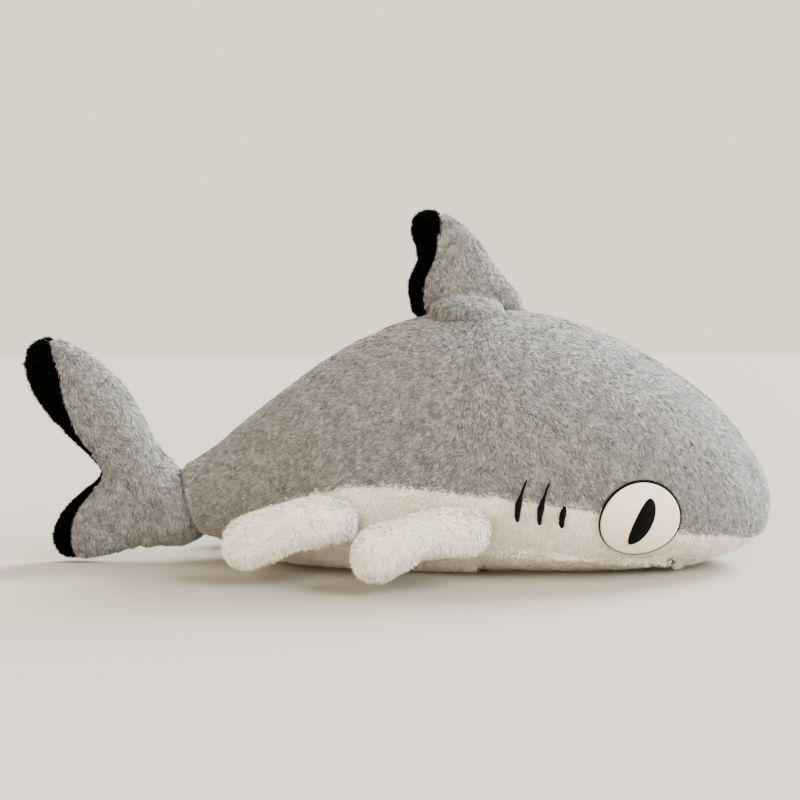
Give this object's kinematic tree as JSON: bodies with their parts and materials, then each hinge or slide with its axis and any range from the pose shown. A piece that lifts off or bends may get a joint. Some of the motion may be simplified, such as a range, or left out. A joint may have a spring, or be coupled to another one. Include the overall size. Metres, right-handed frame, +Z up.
{
  "type": "plush shark",
  "caption": "Long-pile plush shark that lies on its belly, with stuffed floppy fins, a soft tail fin, appliqué eyes and stitched gills.",
  "frame": {"origin": "middle of the bounding box's bottom, on the surface that the shark lies on", "axes": "+X to the nose, +Y to the shark's left side, +Z up; the XZ plane is its plane of symmetry"},
  "size_m": [0.6486, 0.2928, 0.3088],
  "materials": {
    "grey_plush": "matte",
    "white_plush": "matte",
    "black_plush": "matte",
    "black_stitching": "satin",
    "eye_cloth": "matte",
    "lining": "matte",
    "stuffing": "matte"
  },
  "bodies": {
    "body": {"back_panel_left": "grey_plush", "back_panel_right": "grey_plush", "belly_panel": "white_plush", "mouth_lining": "lining", "body_stuffing": "stuffing", "eye_left": "eye_cloth", "eye_right": "eye_cloth", "eye_outline_left": "black_stitching", "eye_outline_right": "black_stitching", "pupil_left": "black_stitching", "pupil_right": "black_stitching", "gill_left_1": "black_stitching", "gill_left_2": "black_stitching", "gill_left_3": "black_stitching", "gill_right_1": "black_stitching", "gill_right_2": "black_stitching", "gill_right_3": "black_stitching"},
    "jaw": {"jaw_panel": "white_plush", "jaw_lining": "lining", "jaw_stuffing": "stuffing"},
    "dorsal_fin": {"dorsal_panel_left": "grey_plush", "dorsal_panel_right": "grey_plush", "dorsal_edge": "black_plush", "dorsal_stuffing": "stuffing"},
    "tail_fin": {"tail_panel_left": "grey_plush", "tail_panel_right": "grey_plush", "tail_edge_upper": "black_plush", "tail_edge_lower": "black_plush", "tail_stuffing": "stuffing"},
    "pectoral_fin_left": {"pectoral_outer_left": "white_plush", "pectoral_inner_left": "white_plush", "pectoral_stuffing_left": "stuffing"},
    "pectoral_fin_right": {"pectoral_outer_right": "white_plush", "pectoral_inner_right": "white_plush", "pectoral_stuffing_right": "stuffing"},
    "pelvic_fin_left": {"pelvic_outer_left": "white_plush", "pelvic_inner_left": "white_plush", "pelvic_stuffing_left": "stuffing"},
    "pelvic_fin_right": {"pelvic_outer_right": "white_plush", "pelvic_inner_right": "white_plush", "pelvic_stuffing_right": "stuffing"}
  },
  "joints": [
    {"name": "jaw_open", "type": "hinge", "parent": "body", "child": "jaw", "pos_m": [0.0705, 0, 0.0005], "axis": [0, 1, 0], "range_deg": [0, 12], "stiffness_Nm_per_rad": 0.3, "springref_deg": -5.73},
    {"name": "dorsal_flop", "type": "hinge", "parent": "body", "child": "dorsal_fin", "pos_m": [0.066, 0, 0.2265], "axis": [1, 0, 0], "range_deg": [-30, 30], "stiffness_Nm_per_rad": 0.15},
    {"name": "tail_swing", "type": "hinge", "parent": "body", "child": "tail_fin", "pos_m": [-0.191, 0, 0.058], "axis": [-0.2402, 0, 0.9707], "range_deg": [-30, 30], "stiffness_Nm_per_rad": 0.2},
    {"name": "pectoral_left_swing", "type": "hinge", "parent": "body", "child": "pectoral_fin_left", "pos_m": [0.066, 0.1085, 0.043], "axis": [0, 0, -1], "range_deg": [-4, 50], "stiffness_Nm_per_rad": 0.05},
    {"name": "pectoral_right_swing", "type": "hinge", "parent": "body", "child": "pectoral_fin_right", "pos_m": [0.066, -0.1085, 0.043], "axis": [0, 0, 1], "range_deg": [-4, 50], "stiffness_Nm_per_rad": 0.05},
    {"name": "pelvic_left_swing", "type": "hinge", "parent": "body", "child": "pelvic_fin_left", "pos_m": [-0.0345, 0.094, 0.05], "axis": [0, 0, -1], "range_deg": [-6, 38], "stiffness_Nm_per_rad": 0.05},
    {"name": "pelvic_right_swing", "type": "hinge", "parent": "body", "child": "pelvic_fin_right", "pos_m": [-0.0345, -0.094, 0.05], "axis": [0, 0, 1], "range_deg": [-6, 38], "stiffness_Nm_per_rad": 0.05}
  ]
}
